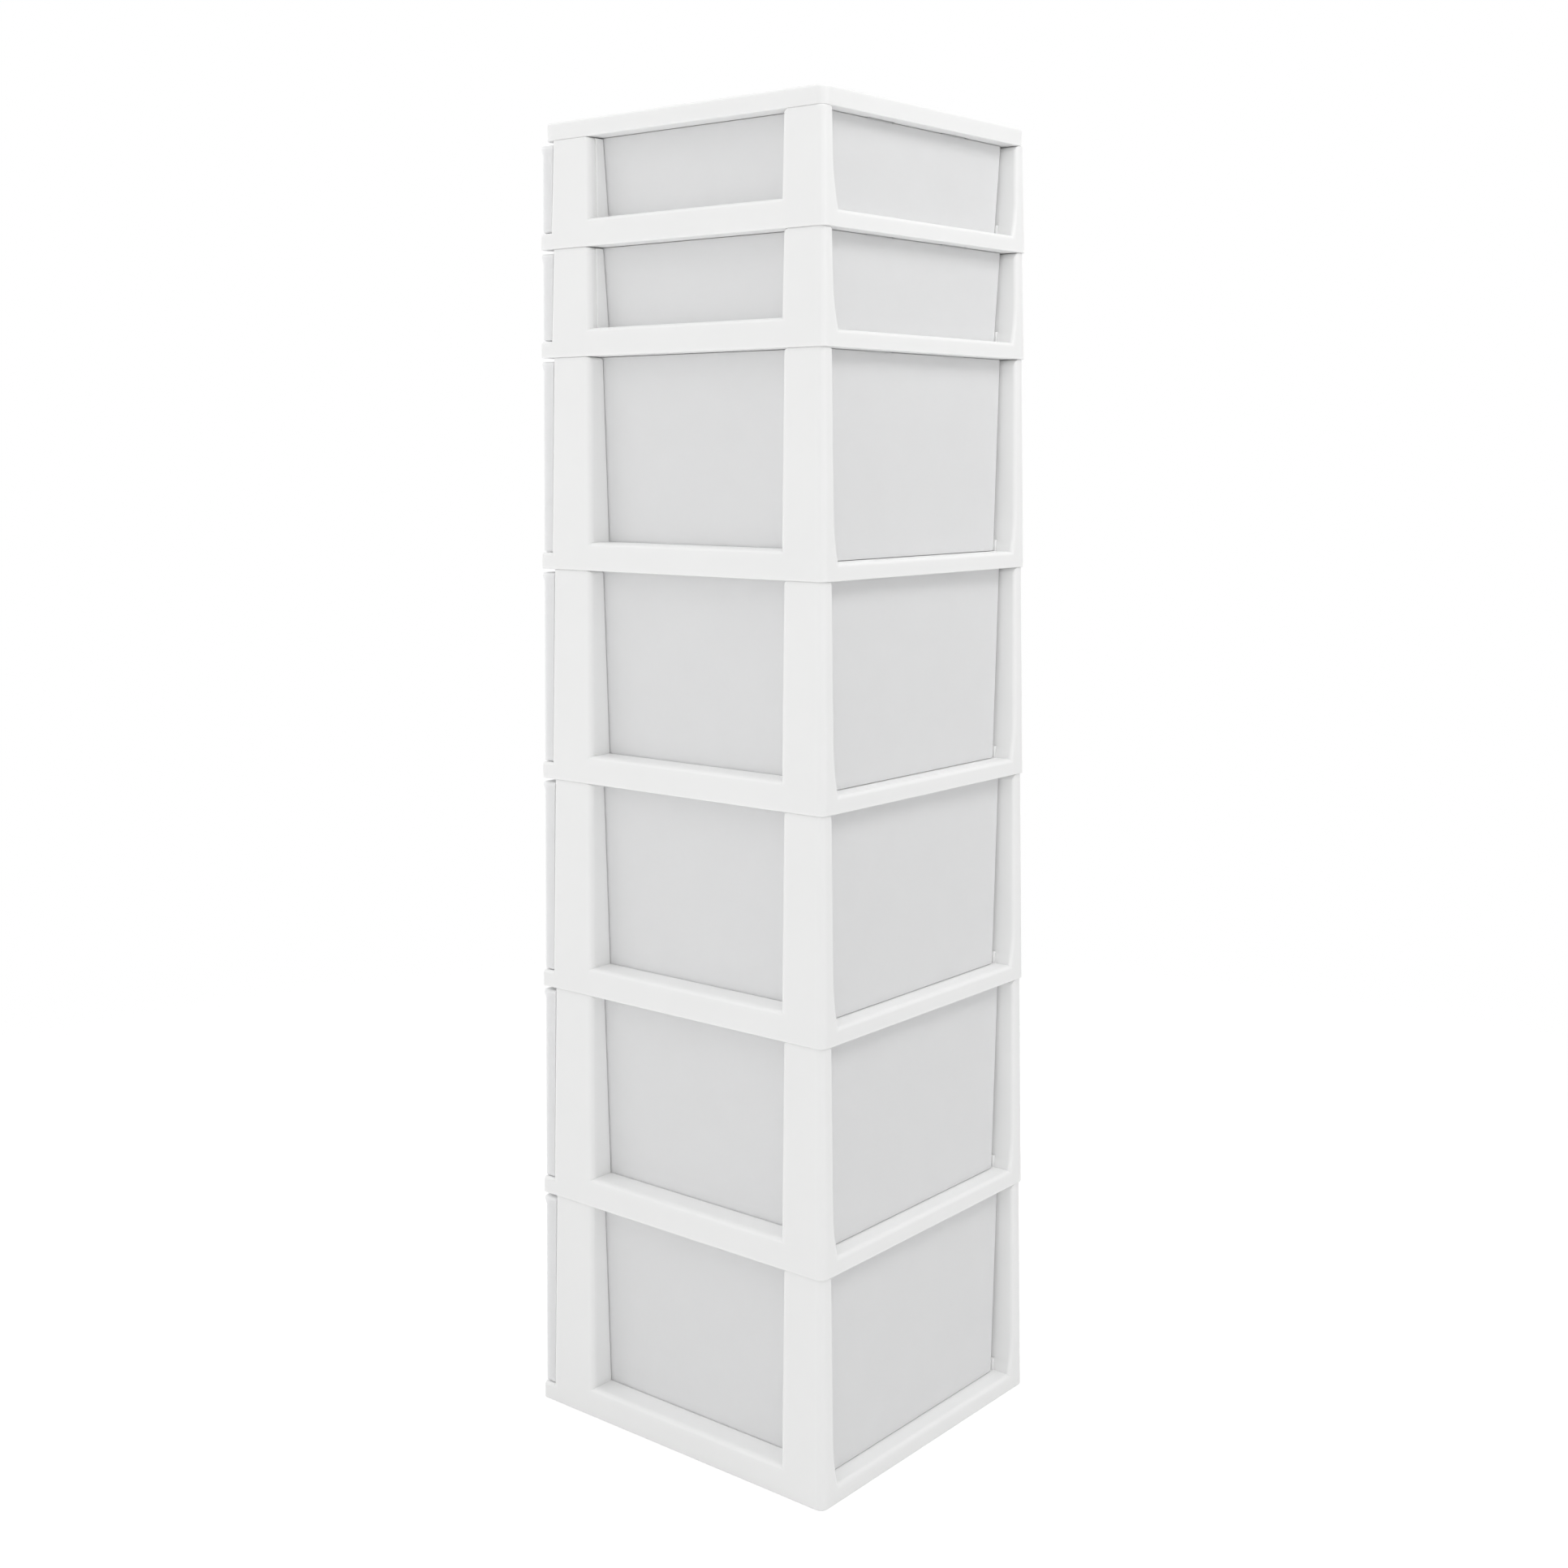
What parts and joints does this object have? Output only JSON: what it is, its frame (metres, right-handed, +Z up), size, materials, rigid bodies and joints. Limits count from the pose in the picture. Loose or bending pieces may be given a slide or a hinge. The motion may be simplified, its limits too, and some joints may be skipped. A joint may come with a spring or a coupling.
{
  "type": "plastic drawer tower",
  "caption": "Free-standing tower of stacked open-sided plastic frames, each holding a frosted slide-out drawer, shallow ones above deep ones, under a flat top plate.",
  "frame": {"origin": "middle of the footprint, on the floor under the bottom frame", "axes": "+Z up, drawer fronts face -Y and the drawers pull out along -Y, +X to the right as seen from the front"},
  "size_m": [0.2654, 0.2854, 1.02],
  "materials": {
    "frame_white": "satin injection-moulded polypropylene, opaque white",
    "drawer_frosted": "frosted translucent polypropylene, light grey"
  },
  "bodies": {
    "tower": {"top_plate": "frame_white", "frame_1": "frame_white", "frame_2": "frame_white", "frame_3": "frame_white", "frame_4": "frame_white", "frame_5": "frame_white", "frame_6": "frame_white", "frame_7": "frame_white"},
    "drawer_body_1": {"drawer_1": "drawer_frosted"},
    "drawer_body_2": {"drawer_2": "drawer_frosted"},
    "drawer_body_3": {"drawer_3": "drawer_frosted"},
    "drawer_body_4": {"drawer_4": "drawer_frosted"},
    "drawer_body_5": {"drawer_5": "drawer_frosted"},
    "drawer_body_6": {"drawer_6": "drawer_frosted"},
    "drawer_body_7": {"drawer_7": "drawer_frosted"}
  },
  "joints": [
    {"name": "drawer_1_slide", "type": "slide", "parent": "tower", "child": "drawer_body_1", "axis": [0, -1, 0], "range_m": [0, 0.2]},
    {"name": "drawer_2_slide", "type": "slide", "parent": "tower", "child": "drawer_body_2", "axis": [0, -1, 0], "range_m": [0, 0.2]},
    {"name": "drawer_3_slide", "type": "slide", "parent": "tower", "child": "drawer_body_3", "axis": [0, -1, 0], "range_m": [0, 0.2]},
    {"name": "drawer_4_slide", "type": "slide", "parent": "tower", "child": "drawer_body_4", "axis": [0, -1, 0], "range_m": [0, 0.2]},
    {"name": "drawer_5_slide", "type": "slide", "parent": "tower", "child": "drawer_body_5", "axis": [0, -1, 0], "range_m": [0, 0.2]},
    {"name": "drawer_6_slide", "type": "slide", "parent": "tower", "child": "drawer_body_6", "axis": [0, -1, 0], "range_m": [0, 0.2]},
    {"name": "drawer_7_slide", "type": "slide", "parent": "tower", "child": "drawer_body_7", "axis": [0, -1, 0], "range_m": [0, 0.2]}
  ]
}
